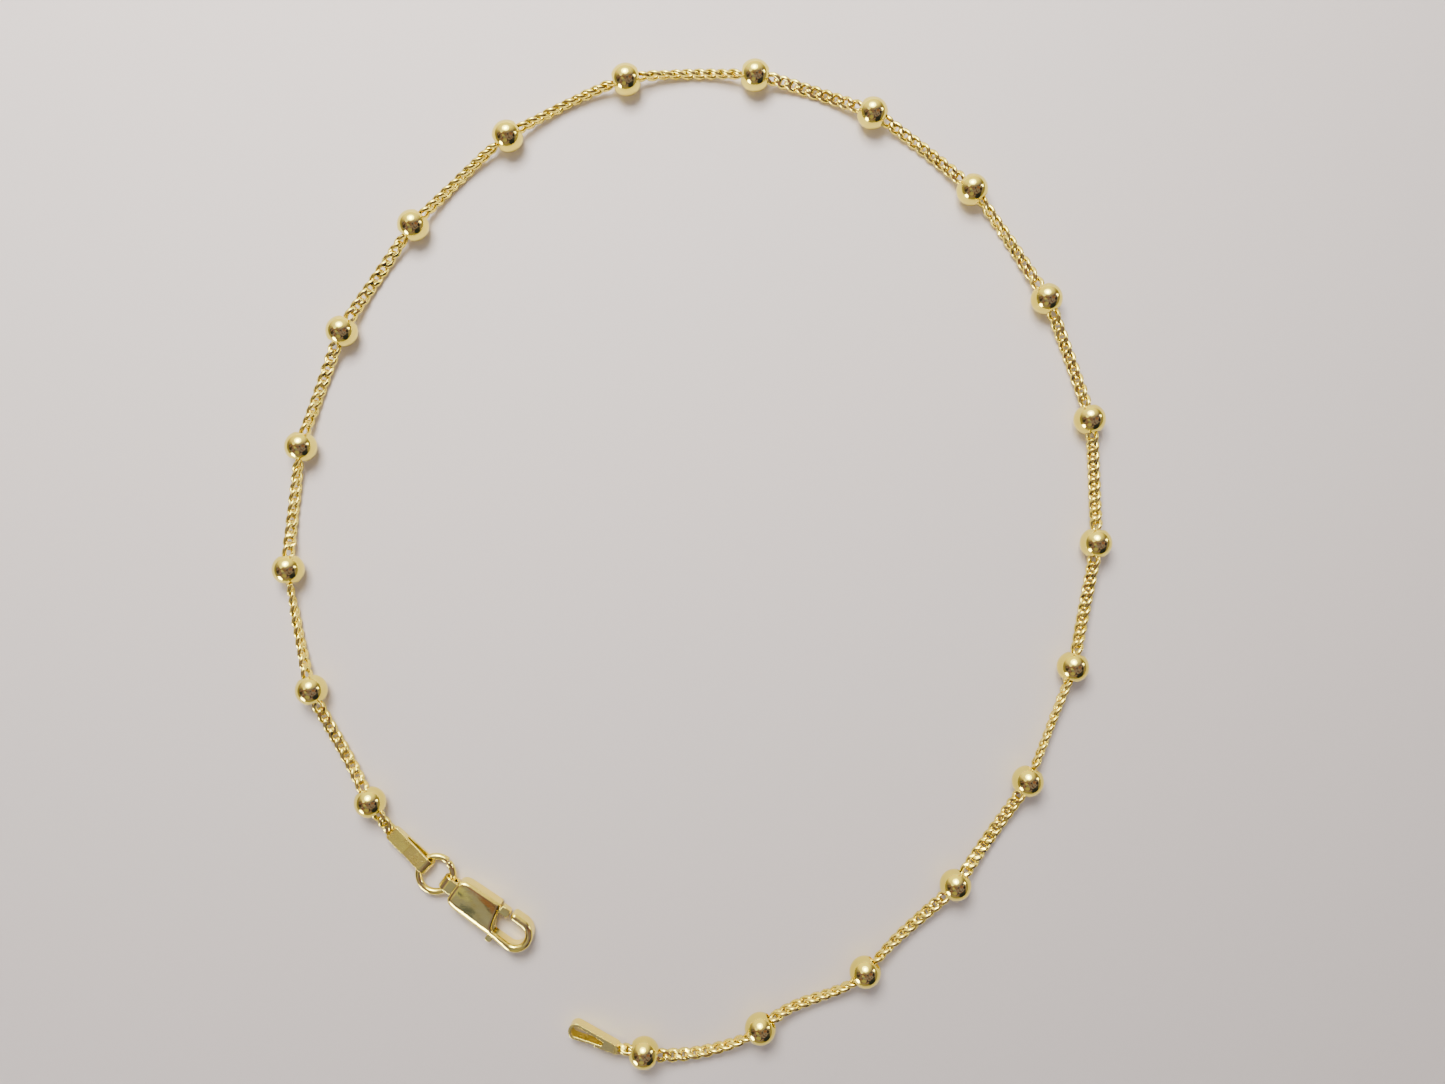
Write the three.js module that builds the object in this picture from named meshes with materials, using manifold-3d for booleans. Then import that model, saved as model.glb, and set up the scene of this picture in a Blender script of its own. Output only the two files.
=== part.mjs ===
// Ball station chain anklet, opened out and lying flat.
// Drilled ball beads sit along a fine curb chain. One end carries a folded tag, a jump ring
// and a lobster clasp, and the other end a folded tag whose open eye takes the clasp's hook.
// Millimetres, +Z up, z = 0 on the surface that the anklet lies on.

import * as THREE from 'three';
import { mergeVertices } from 'three/addons/utils/BufferGeometryUtils.js';
import Module from 'manifold-3d';

const wasm = await Module();
wasm.setup();

// Beads
const beadDiameter = 3.0;
const beadPitch = 12.0;
const beadSides = 14;
const beadRows = 10;

// Bead centres seen from above, from the clasp end round to the free end.
// x and y are in millimetres for a loop whose beads lie about 12 apart, and the whole
// route grows or shrinks with beadPitch. turn is how far the slack chain has turned a
// bead's hole out of the loop's line, in degrees.
const beadRoute = [
  { x: -33.6, y: -24.8, turn: 0 },
  { x: -39.2, y: -14.1, turn: 0 },
  { x: -41.4, y: -2.6, turn: 0 },
  { x: -40.2, y: 9.1, turn: 0 },
  { x: -36.3, y: 20.1, turn: 0 },
  { x: -29.5, y: 30.2, turn: 0 },
  { x: -20.5, y: 38.7, turn: 0 },
  { x: -9.2, y: 44.1, turn: 0 },
  { x: 3.1, y: 44.5, turn: 0 },
  { x: 14.3, y: 40.9, turn: 0 },
  { x: 23.8, y: 33.6, turn: 0 },
  { x: 30.9, y: 23.2, turn: 0 },
  { x: 35.0, y: 11.7, turn: 0 },
  { x: 35.6, y: -0.1, turn: 0 },
  { x: 33.4, y: -11.9, turn: 0 },
  { x: 29.1, y: -22.8, turn: 0 },
  { x: 22.2, y: -32.7, turn: 0 },
  { x: 13.6, y: -41.0, turn: 8 },
  { x: 3.6, y: -46.4, turn: 16 },
  { x: -7.5, y: -48.7, turn: -20 },
];

// Chain between the beads
const chainWidth = 1.15;
const chainSides = 8;
const stretchSteps = 4;
const boreClearance = 0.2;
const seatLength = 0.35;
const floorClearance = 0.05;

// Curb links at the two ends of the chain
const linkWire = 0.32;
const linkLength = 1.64;
const linkWidth = 1.24;
const linkTwist = 52;
const linkSides = 12;
const wireSides = 6;
const solderOverlap = 0.05;
const linkStandOut = 0.3;

// Gap kept between pieces that hold or move against each other
const fitGap = 0.1;
const eyeGap = 0.15;

// The chain's two ends: which way each points, in degrees from +X, how many loose links it
// has, which way its tag points and is rolled, and how far the tag's closed end is lifted
const claspEnd = {
  bead: 0, chain: 1, tag: 'clasp_end_tag',
  heading: -58, linkCount: 2, tagHeading: -44, tagRoll: 90, lift: 0,
};
const freeEnd = {
  bead: beadRoute.length - 1, chain: beadRoute.length + 1, tag: 'free_end_tag',
  heading: 181, linkCount: 1, tagHeading: 157, tagRoll: 0, lift: 0.35,
};

// Metal round an eye that the jump ring passes through: the tags' strip and the clasp's lug
const eyeWall = 0.28;

// Folded tags
const tagLength = 5.2;
const tagStripWidth = 1.4;
const tagClosedThickness = 0.84;
const tagLapLength = 2.3;
const tagLapStep = 0.14;
const tagPinchGap = 0.28;

// Jump ring
const ringOuterDiameter = 4.0;
const ringWire = 0.65;
const ringSides = 16;
const ringWireSides = 6;
const ringCutHeading = 45;
const ringCutGap = 0.15;
const ringEndOffset = 0.2;

// Clasp body
const claspHeading = -35.5;
const claspLength = 9.0;
const claspWidth = 3.4;
const claspTailWidth = 3.05;
const claspTailFlat = 1.3;
const claspTailCorner = 1.25;
const claspThickness = 2.0;
const claspFillet = 0.28;
const claspFilletSteps = 2;
const claspCurveSides = 8;
const hookBar = 0.74;
const hookTipReach = 1.0;
const mouthLength = 1.43;
const lugWidth = 1.3;
const lugNeck = 0.12;
const lugRoot = 0.56;

// Where the body's edge swings up out of the hook's opening to the gate side: how far along
// it starts, and how far across it still runs square, as shares of the opening's half width
const throatStart = 0.7;
const throatSquare = 0.3;

// Clasp lever: its pivot stands back from the mouth and off the clasp's centre line, and its
// nub stands forward of where the mouth starts
const pivotFromMouth = 0.6;
const pivotOffset = 0.6;
const hubRadius = 0.5;
const hubStartAngle = 90;
const hubEndAngle = 243;
const leverThickness = 1.0;
const gateBar = 0.8;
const gateCorner = 0.2;
const gateInset = 0.15;
const nubWidth = 0.65;
const nubCorner = 0.22;
const nubReach = 0.45;
const nubFoot = 0.22;
const nubFromMouth = 0.95;
const slotWall = 0.4;
const pegRadius = 0.25;
const pegSeat = 0.14;
const pegSides = 12;

// Sizes that follow from the ones above
const beadRadius = beadDiameter / 2;
const boreRadius = chainWidth / 2 + boreClearance;
const boreMouth = Math.sqrt(beadRadius ** 2 - boreRadius ** 2);
const chainRest = chainWidth / 2 + floorClearance;
const linkHalfLength = (linkLength - linkWire) / 2;
const linkHalfWidth = (linkWidth - linkWire) / 2;
const solderedPitch = 2 * linkHalfLength - linkWire + solderOverlap;
const loosePitch = 2 * linkHalfLength - linkWire - fitGap;
const tagPastLink = linkLength / 2 + fitGap - loosePitch;
const eyeRadius = ringWire / 2 + eyeGap;
const eyeOuterRadius = eyeRadius + eyeWall;
const tagEyeCentre = tagLength - eyeOuterRadius;
const ringRadius = (ringOuterDiameter - ringWire) / 2;
const ringHeight = eyeOuterRadius;
const slotHeight = leverThickness + 2 * fitGap;
const slotFloor = (claspThickness - slotHeight) / 2;
const hookRadius = claspWidth / 2;
const hookCentre = claspLength - hookRadius;
const hookInner = hookRadius - hookBar;
const hookTip = hookCentre - hookTipReach;
const mouthStart = hookTip - hookBar / 2 - mouthLength;
const pivotFromTail = mouthStart - pivotFromMouth;
const nubFromTail = mouthStart + nubFromMouth;

const degrees = THREE.MathUtils.degToRad;

// Metals
const gold = (name, color, roughness) =>
  new THREE.MeshStandardMaterial({ name, color, roughness, metalness: 1 });
const beadGold = () => gold('bead gold', 0xdcc870, 0.1);
const chainGold = () => gold('chain gold', 0xd8ba52, 0.25);
const tagGold = () => gold('tag gold', 0xd6c26c, 0.2);
const claspGold = () => gold('clasp gold', 0xd4bf66, 0.12);

const anklet = new THREE.Group();
anklet.name = 'chain_anklet';

const numbered = (kind, number) => `${kind}_${String(number).padStart(2, '0')}`;

function addPiece(name, geometry, material, place = new THREE.Matrix4()) {
  const mesh = new THREE.Mesh(geometry, material);
  mesh.name = name;
  mesh.applyMatrix4(place);
  anklet.add(mesh);
}

// Solids for joining and cutting

function toSolid(geometry) {
  const bare = geometry.index ? geometry.toNonIndexed() : geometry.clone();
  bare.deleteAttribute('normal');
  bare.deleteAttribute('uv');
  const merged = mergeVertices(bare, 1e-5);
  return new wasm.Manifold(new wasm.Mesh({
    numProp: 3,
    vertProperties: new Float32Array(merged.getAttribute('position').array),
    triVerts: new Uint32Array(merged.index.array),
  }));
}

function toGeometry(solid) {
  const mesh = solid.getMesh();
  const geometry = new THREE.BufferGeometry();
  geometry.setAttribute('position', new THREE.BufferAttribute(mesh.vertProperties, 3));
  geometry.setIndex(new THREE.BufferAttribute(mesh.triVerts, 1));
  geometry.computeVertexNormals();
  return geometry;
}

const joined = (...geometries) => geometries.map(toSolid).reduce((whole, next) => whole.add(next));

// A flat outline raised from z = low to z = high
function slab(outline, low, high, curveSegments = 6) {
  const geometry = new THREE.ExtrudeGeometry(outline, {
    depth: high - low,
    bevelEnabled: false,
    curveSegments,
  });
  return geometry.translate(0, 0, low);
}

// Directions and frames

const heading = (angle) => new THREE.Vector3(Math.cos(degrees(angle)), Math.sin(degrees(angle)), 0);

// A frame with its x axis along a direction and its y axis level
function frameAt(origin, along, roll = 0) {
  const x = along.clone().normalize();
  const y = new THREE.Vector3(0, 0, 1).cross(x).normalize();
  const z = x.clone().cross(y);
  const frame = new THREE.Matrix4().makeBasis(x, y, z).setPosition(origin);
  return frame.multiply(new THREE.Matrix4().makeRotationX(degrees(roll)));
}

// The beads' centres, at the height where they rest on the surface

function meanChord(points) {
  let total = 0;
  for (let i = 1; i < points.length; i += 1) {
    total += points[i].distanceTo(points[i - 1]);
  }
  return total / (points.length - 1);
}

const charted = beadRoute.map(({ x, y }) => new THREE.Vector3(x, y, 0));
const routeScale = beadPitch / meanChord(charted);
const beadCentres = charted.map((point) =>
  point.clone().multiplyScalar(routeScale).setZ(beadRadius));

// The direction of a bead's hole: the line of its two neighbours, with its own turn.
// Beyond an end bead the chain runs on along that end's heading.
function holeAxis(i) {
  const last = beadCentres.length - 1;
  const here = beadCentres[i];
  const before = i === 0
    ? here.clone().addScaledVector(heading(claspEnd.heading), beadPitch)
    : beadCentres[i - 1];
  const after = i === last
    ? here.clone().addScaledVector(heading(freeEnd.heading), beadPitch)
    : beadCentres[i + 1];
  const axis = after.clone().sub(before).setZ(0).normalize();
  return axis.applyAxisAngle(new THREE.Vector3(0, 0, 1), degrees(beadRoute[i].turn));
}

const holeAxes = beadCentres.map((_, i) => holeAxis(i));

// Ball bead: a sphere turned about its hole, with the hole's wall as the profile's last side
function beadGeometry() {
  const mouthAngle = Math.asin(boreRadius / beadRadius);
  const profile = [];
  for (let row = 0; row <= beadRows; row += 1) {
    const angle = -Math.PI + mouthAngle + (row / beadRows) * (Math.PI - 2 * mouthAngle);
    profile.push(new THREE.Vector2(-beadRadius * Math.sin(angle), beadRadius * Math.cos(angle)));
  }
  profile.push(profile[0].clone());
  return new THREE.LatheGeometry(profile, beadSides);
}

function addBeads() {
  const up = new THREE.Vector3(0, 0, 1);
  beadCentres.forEach((centre, i) => {
    const along = holeAxes[i];
    const place = new THREE.Matrix4().makeBasis(along.clone().cross(up), along, up);
    addPiece(numbered('bead', i + 1), beadGeometry(), beadGold(), place.setPosition(centre));
  });
}

// The way of one stretch of chain, from inside one bead's hole to inside the next.
// It leaves each hole straight, and between the beads it sags until it touches the surface.
class SaggingStretch extends THREE.Curve {
  constructor(from, fromAxis, to, toAxis) {
    super();
    const start = from.clone().addScaledVector(fromAxis, boreMouth - seatLength);
    const end = to.clone().addScaledVector(toAxis, seatLength - boreMouth);
    const handle = start.distanceTo(end) / 3;
    this.plan = new THREE.CubicBezierCurve3(
      start,
      start.clone().addScaledVector(fromAxis, handle),
      end.clone().addScaledVector(toAxis, -handle),
      end,
    );
  }

  getPoint(t, target = new THREE.Vector3()) {
    this.plan.getPoint(t, target);
    return target.setZ(chainRest + (beadRadius - chainRest) * (2 * t - 1) ** 2);
  }
}

// One whole stretch of curb chain as the round envelope of its links
function stretchGeometry(path) {
  const section = new THREE.Shape();
  for (let side = 0; side < chainSides; side += 1) {
    const angle = (2 * Math.PI * side) / chainSides;
    const corner = [Math.cos(angle) * chainWidth / 2, Math.sin(angle) * chainWidth / 2];
    if (side === 0) section.moveTo(...corner);
    else section.lineTo(...corner);
  }
  section.closePath();
  return new THREE.ExtrudeGeometry(section, {
    steps: stretchSteps,
    extrudePath: path,
    bevelEnabled: false,
  });
}

function addStretches() {
  for (let i = 1; i < beadCentres.length; i += 1) {
    const path = new SaggingStretch(
      beadCentres[i - 1], holeAxes[i - 1], beadCentres[i], holeAxes[i],
    );
    addPiece(numbered('chain', i + 1), stretchGeometry(path), chainGold());
  }
}

// One curb link along x: an oval of round wire, twisted about x so that its neighbours,
// which lie the same way up, pass through it crosswise
function linkGeometry() {
  const ring = new THREE.TorusGeometry(1, linkWire / 2, wireSides, linkSides);
  const spot = ring.getAttribute('position');
  for (let i = 0; i < spot.count; i += 1) {
    const turn = Math.atan2(spot.getY(i), spot.getX(i));
    const outward = Math.hypot(spot.getX(i), spot.getY(i)) - 1;
    const normal = new THREE.Vector2(
      linkHalfWidth * Math.cos(turn), linkHalfLength * Math.sin(turn),
    ).normalize();
    const x = linkHalfLength * Math.cos(turn) + outward * normal.x;
    const side = linkHalfWidth * Math.sin(turn) + outward * normal.y;
    const rise = spot.getZ(i);
    const twist = degrees(linkTwist) * Math.cos(turn);
    spot.setXYZ(
      i,
      x,
      side * Math.cos(twist) - rise * Math.sin(twist),
      side * Math.sin(twist) + rise * Math.cos(twist),
    );
  }
  return ring;
}

// The line of one chain end, from inside the end bead's hole to the tag's own link
function endRun(end) {
  const inner = end.bead === 0 ? 1 : -1;
  const start = beadCentres[end.bead].clone()
    .addScaledVector(holeAxes[end.bead], inner * (linkStandOut - boreMouth));
  const reach = 2 * linkStandOut + (end.linkCount - 1) * solderedPitch + loosePitch;
  const lyingHeight = end.tagRoll === 0 ? tagStripWidth / 2 : eyeOuterRadius;
  const drop = (start.z - lyingHeight - end.lift) / reach;
  const along = heading(end.heading).multiplyScalar(Math.sqrt(1 - drop ** 2)).setZ(-drop);
  return { start, along, finish: start.clone().addScaledVector(along, reach) };
}

// The loose links of one end of the chain, soldered into one piece
function endLinks(end, run) {
  const links = [];
  for (let i = 0; i < end.linkCount; i += 1) {
    const centre = run.start.clone()
      .addScaledVector(run.along, 2 * linkStandOut + i * solderedPitch);
    links.push(linkGeometry().applyMatrix4(frameAt(centre, run.along)));
  }
  return toGeometry(joined(...links));
}

// Where the straight flank between two round ends touches them, for radii r0 at x0 and r1 at x1
const flankAngle = (x0, r0, x1, r1) => Math.PI / 2 + Math.asin((r1 - r0) / (x1 - x0));

// Side view of a folded tag: x runs from its closed end to its eye, y across the fold.
// The strip's outer end laps back over the closed end and stops at a small step.
function tagOutline() {
  const closedRadius = tagClosedThickness / 2;
  const flank = flankAngle(closedRadius, closedRadius, tagEyeCentre, eyeOuterRadius);
  const share = (tagLapLength - closedRadius) / (tagEyeCentre - closedRadius);
  const lapHeight = THREE.MathUtils.lerp(closedRadius, eyeOuterRadius, share);
  const outline = new THREE.Shape();
  outline.absarc(tagEyeCentre, 0, eyeOuterRadius, -flank, flank, false);
  outline.lineTo(tagLapLength, lapHeight - tagLapStep);
  outline.lineTo(tagLapLength, lapHeight);
  outline.absarc(closedRadius, 0, closedRadius, flank, 2 * Math.PI - flank, false);
  outline.closePath();
  outline.holes.push(tagEye());
  return outline;
}

// The tag's open eye, which narrows towards the lap
function tagEye() {
  const pinchRadius = tagPinchGap / 2;
  const pinchCentre = tagLapLength + pinchRadius;
  const flank = flankAngle(pinchCentre, pinchRadius, tagEyeCentre, eyeRadius);
  const eye = new THREE.Path();
  eye.absarc(tagEyeCentre, 0, eyeRadius, -flank, flank, false);
  eye.absarc(pinchCentre, 0, pinchRadius, flank, 2 * Math.PI - flank, false);
  eye.closePath();
  return eye;
}

// A folded tag with the chain's last link soldered into its closed end.
// tagPlace takes the side view's x, y and strip width to the anklet, and linkPlace the link.
function tagGeometry(tagPlace, linkPlace) {
  const half = tagStripWidth / 2;
  const strip = slab(tagOutline(), -half, half).applyMatrix4(tagPlace);
  return toGeometry(joined(strip, linkGeometry().applyMatrix4(linkPlace)));
}

// One end of the chain: its loose links and its tag. Returns the frame of the tag.
function addChainEnd(end) {
  const run = endRun(end);
  addPiece(numbered('chain', end.chain), endLinks(end, run), chainGold());
  const fall = end.lift / tagLength;
  const along = heading(end.tagHeading).multiplyScalar(Math.sqrt(1 - fall ** 2)).setZ(-fall);
  const corner = run.finish.clone().addScaledVector(along, tagPastLink);
  const tag = tagGeometry(frameAt(corner, along, end.tagRoll), frameAt(run.finish, run.along));
  addPiece(end.tag, tag, tagGold());
  return { corner, along };
}

// How far a ring's wire bends away from straight across a passage of a given width
const ringBow = (width) => ringRadius - Math.sqrt(ringRadius ** 2 - (width / 2) ** 2);

// Jump ring: one turn of wire whose cut ends stand slightly above and below each other
class RingTurn extends THREE.Curve {
  getPoint(t, target = new THREE.Vector3()) {
    const gap = ringCutGap / ringRadius;
    const angle = degrees(ringCutHeading) + gap / 2 + t * (2 * Math.PI - gap);
    return target.set(
      ringRadius * Math.cos(angle),
      ringRadius * Math.sin(angle),
      ringEndOffset * (t - 0.5),
    );
  }
}

// The ring's wire lies in the end of the clasp-end tag's eye
function addJumpRing(tag) {
  const centre = tag.corner.clone()
    .addScaledVector(tag.along, tagEyeCentre - ringBow(tagStripWidth) + ringRadius);
  const section = new THREE.Shape();
  section.absarc(0, 0, ringWire / 2, 0, 2 * Math.PI, false);
  const geometry = new THREE.ExtrudeGeometry(section, {
    steps: ringSides,
    curveSegments: ringWireSides,
    extrudePath: new RingTurn(),
    bevelEnabled: false,
  });
  addPiece('jump_ring', geometry, claspGold(), new THREE.Matrix4().setPosition(centre));
  return centre;
}

// Clasp in its own frame: x from the tail to the hook's far end, y towards the gate,
// z = 0 on the underside

// Plan of the body and hook, round the outside from the tail, and back round the opening
function claspOutline() {
  const tailHalf = claspTailWidth / 2;
  const flatHalf = claspTailFlat / 2;
  const tipHalf = hookBar / 2;
  const openStart = mouthStart + hookBar / 2;
  const outline = new THREE.Shape();
  outline.moveTo(0, -flatHalf);
  outline.quadraticCurveTo(0, -tailHalf, claspTailCorner, -tailHalf);
  outline.lineTo(hookCentre, -hookRadius);
  outline.absarc(hookCentre, 0, hookRadius, -Math.PI / 2, Math.PI / 2, false);
  outline.absarc(hookTip, hookRadius - tipHalf, tipHalf, Math.PI / 2, 1.5 * Math.PI, false);
  outline.absarc(hookCentre, 0, hookInner, Math.PI / 2, -Math.PI / 2, true);
  outline.lineTo(openStart + hookInner * throatStart, -hookInner);
  outline.bezierCurveTo(
    openStart, -hookInner,
    openStart, hookInner * throatSquare,
    mouthStart, gateSide(mouthStart),
  );
  outline.lineTo(claspTailCorner, tailHalf);
  outline.quadraticCurveTo(0, tailHalf, 0, flatHalf);
  outline.closePath();
  return outline;
}

// Half width of the body's gate side at a distance from the tail
function gateSide(x) {
  const share = (x - claspTailCorner) / (hookCentre - claspTailCorner);
  return THREE.MathUtils.lerp(claspTailWidth / 2, hookRadius, share);
}

// The lug behind the tail: a strap with a level hole across it for the jump ring
function lugShapes() {
  const holeLength = 2 * eyeRadius + ringBow(lugWidth);
  const farHole = -lugNeck - holeLength + eyeRadius;
  const nearHole = -lugNeck - eyeRadius;
  const strap = new THREE.Shape();
  strap.moveTo(lugRoot, -eyeOuterRadius);
  strap.lineTo(lugRoot, eyeOuterRadius);
  strap.absarc(farHole, 0, eyeOuterRadius, Math.PI / 2, 1.5 * Math.PI, false);
  strap.closePath();
  const hole = new THREE.Path();
  hole.absarc(nearHole, 0, eyeRadius, -Math.PI / 2, Math.PI / 2, false);
  hole.absarc(farHole, 0, eyeRadius, Math.PI / 2, 1.5 * Math.PI, false);
  hole.closePath();
  strap.holes.push(hole);
  return { strap, wireCentre: farHole + ringBow(lugWidth) };
}

function lugGeometry() {
  const half = lugWidth / 2;
  return slab(lugShapes().strap, -half, half)
    .rotateX(Math.PI / 2)
    .translate(0, 0, ringHeight);
}

// The slot that the lever lies in: open to the spine side and to the hook's opening
function slotGeometry() {
  const start = pivotFromTail - hubRadius - fitGap;
  const end = nubFromTail + nubWidth / 2 + fitGap;
  const wall = gateSide(pivotFromTail) - slotWall;
  const outline = new THREE.Shape();
  outline.moveTo(start, -claspWidth);
  outline.lineTo(end, -claspWidth);
  outline.lineTo(end, wall);
  outline.lineTo(start, wall);
  outline.closePath();
  return slab(outline, slotFloor, slotFloor + slotHeight);
}

const round = (radius, low, high, x, y) =>
  new THREE.CylinderGeometry(radius, radius, high - low, pegSides)
    .rotateX(Math.PI / 2)
    .translate(x, y, (low + high) / 2);

function claspBodyGeometry() {
  const body = new THREE.ExtrudeGeometry(claspOutline(), {
    depth: claspThickness - 2 * claspFillet,
    bevelThickness: claspFillet,
    bevelSize: claspFillet,
    bevelOffset: -claspFillet,
    bevelSegments: claspFilletSteps,
    curveSegments: claspCurveSides,
  }).translate(0, 0, claspFillet);
  const seatDepth = pegSeat + fitGap / 2;
  const socket = round(
    pegRadius + fitGap, slotFloor - seatDepth, slotFloor + slotHeight + seatDepth,
    pivotFromTail, pivotOffset,
  );
  return toGeometry(
    joined(body, lugGeometry()).subtract(toSolid(slotGeometry())).subtract(toSolid(socket)),
  );
}

// Plan of the lever: hub, gate that closes the mouth, and thumb nub on the spine side
function leverOutline() {
  const gateStart = mouthStart + fitGap + claspFillet / 2;
  const gateEnd = hookTip - hookBar / 2 - gateInset;
  const gateOuter = gateSide(mouthStart) - fitGap;
  const gateInner = gateOuter - gateBar;
  const hubTop = pivotOffset + hubRadius;
  const nubRoot = nubFoot - hookRadius;
  const nubTip = -hookRadius - nubReach;
  const nubLeft = nubFromTail - nubWidth / 2;
  const nubRight = nubFromTail + nubWidth / 2;
  const outline = new THREE.Shape();
  outline.absarc(
    pivotFromTail, pivotOffset, hubRadius, degrees(hubStartAngle), degrees(hubEndAngle), false,
  );
  outline.lineTo(nubLeft, nubRoot);
  outline.lineTo(nubLeft, nubTip + nubCorner);
  outline.quadraticCurveTo(nubLeft, nubTip, nubFromTail, nubTip);
  outline.quadraticCurveTo(nubRight, nubTip, nubRight, nubTip + nubCorner);
  outline.lineTo(nubRight, nubRoot);
  outline.lineTo(pivotFromTail + 2 * hubRadius, pivotOffset - hubRadius);
  outline.lineTo(gateStart, gateInner);
  outline.lineTo(gateEnd - gateCorner, gateInner);
  outline.lineTo(gateEnd, gateInner + gateCorner);
  outline.lineTo(gateEnd, gateOuter - gateCorner);
  outline.lineTo(gateEnd - gateCorner, gateOuter);
  outline.lineTo(gateStart, gateOuter);
  outline.lineTo(gateStart - fitGap / 2, hubTop);
  outline.closePath();
  return outline;
}

// The lever turns on two short pegs that sit in the body's upper and lower plates
function leverGeometry() {
  const low = slotFloor + fitGap;
  const high = low + leverThickness;
  const reach = fitGap + pegSeat;
  const pegs = round(pegRadius, low - reach, high + reach, pivotFromTail, pivotOffset);
  return toGeometry(joined(slab(leverOutline(), low, high), pegs));
}

function addClasp(ringCentre) {
  const along = heading(claspHeading);
  const tail = ringCentre.clone()
    .addScaledVector(along, ringRadius - lugShapes().wireCentre)
    .setZ(0);
  const place = frameAt(tail, along);
  addPiece('clasp_body', claspBodyGeometry(), claspGold(), place);
  addPiece('clasp_lever', leverGeometry(), claspGold(), place);
}

addBeads();
addStretches();
addChainEnd(freeEnd);
addClasp(addJumpRing(addChainEnd(claspEnd)));

// The anklet stands over its own origin: the middle of its box, on the surface
const box = new THREE.Box3().setFromObject(anklet, true);
anklet.position.set(-(box.min.x + box.max.x) / 2, -(box.min.y + box.max.y) / 2, -box.min.z);

export default anklet;
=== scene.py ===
# %% [markdown]
# # A ball station chain anklet
# Twenty drilled ball beads sit along a fine curb chain. At one end a folded tag, a jump ring
# and a lobster clasp follow, and at the other a folded tag with an open eye.
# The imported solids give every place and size. This script dresses them: each solid is
# replaced by a finer piece of the same form, in polished pale gold.

import math

import bmesh
import bpy
import numpy as np
from mathutils import Matrix, Vector


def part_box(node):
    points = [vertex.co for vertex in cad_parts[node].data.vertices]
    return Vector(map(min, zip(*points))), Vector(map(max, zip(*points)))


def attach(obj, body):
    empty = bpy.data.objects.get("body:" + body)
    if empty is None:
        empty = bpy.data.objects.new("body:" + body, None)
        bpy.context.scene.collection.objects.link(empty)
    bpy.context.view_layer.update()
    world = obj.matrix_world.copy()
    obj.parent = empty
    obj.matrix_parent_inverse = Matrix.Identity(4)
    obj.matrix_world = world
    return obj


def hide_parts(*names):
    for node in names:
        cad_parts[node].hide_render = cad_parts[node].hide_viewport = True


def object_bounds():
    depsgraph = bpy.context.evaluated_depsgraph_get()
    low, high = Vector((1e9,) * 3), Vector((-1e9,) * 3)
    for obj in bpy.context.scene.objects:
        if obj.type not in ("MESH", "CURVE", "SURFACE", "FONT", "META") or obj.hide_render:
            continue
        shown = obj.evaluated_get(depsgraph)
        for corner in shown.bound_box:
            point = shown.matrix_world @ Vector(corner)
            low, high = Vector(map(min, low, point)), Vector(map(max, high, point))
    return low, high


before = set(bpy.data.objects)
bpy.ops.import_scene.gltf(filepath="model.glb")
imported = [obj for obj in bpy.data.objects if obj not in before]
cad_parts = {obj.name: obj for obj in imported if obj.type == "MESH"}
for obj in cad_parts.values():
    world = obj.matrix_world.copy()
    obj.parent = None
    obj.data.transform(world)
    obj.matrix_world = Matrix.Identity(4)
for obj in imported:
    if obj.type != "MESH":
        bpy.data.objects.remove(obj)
solid_box = [list(corner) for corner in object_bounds()]
box_in_mm = [[round(1000 * n, 2) for n in corner] for corner in solid_box]
print("solids:", len(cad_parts), "box in mm:", box_in_mm)

# %% [markdown]
# The real anklet was seen straight from above, close up. A camera with nothing tilted or
# turned does that: Blender's camera looks down its own -Z, and +Y is the top of the picture.
# The focal length and the height together set how much the raised beads lean outwards. An
# orthographic camera would show none of that lean.

# %% Camera
MM = 0.001
PICTURE_WIDTH = 1445
FOCAL_PIXELS = 1083.75
SENSOR = 36.0
CAMERA_PLACE = (2.909, 2.107, 105.1)
NEAREST_SEEN = 2 * MM

camera = bpy.data.objects.new("camera", bpy.data.cameras.new("camera"))
camera.data.sensor_width = SENSOR
camera.data.lens = FOCAL_PIXELS * SENSOR / PICTURE_WIDTH
camera.data.clip_start = NEAREST_SEEN
camera.location = Vector(CAMERA_PLACE) * MM
bpy.context.scene.collection.objects.link(camera)
bpy.context.scene.camera = camera
print("camera lens:", round(camera.data.lens, 2), "mm, height:", CAMERA_PLACE[2], "mm")


# %% [markdown]
# Materials are worked out as sums of sockets. One small class holds a socket, and Python's
# own operators on it add the Math nodes, so a finish reads like arithmetic. A second class
# holds a node tree and makes every other node through one method.
# The same two classes serve the shader trees and the geometry trees.

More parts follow.
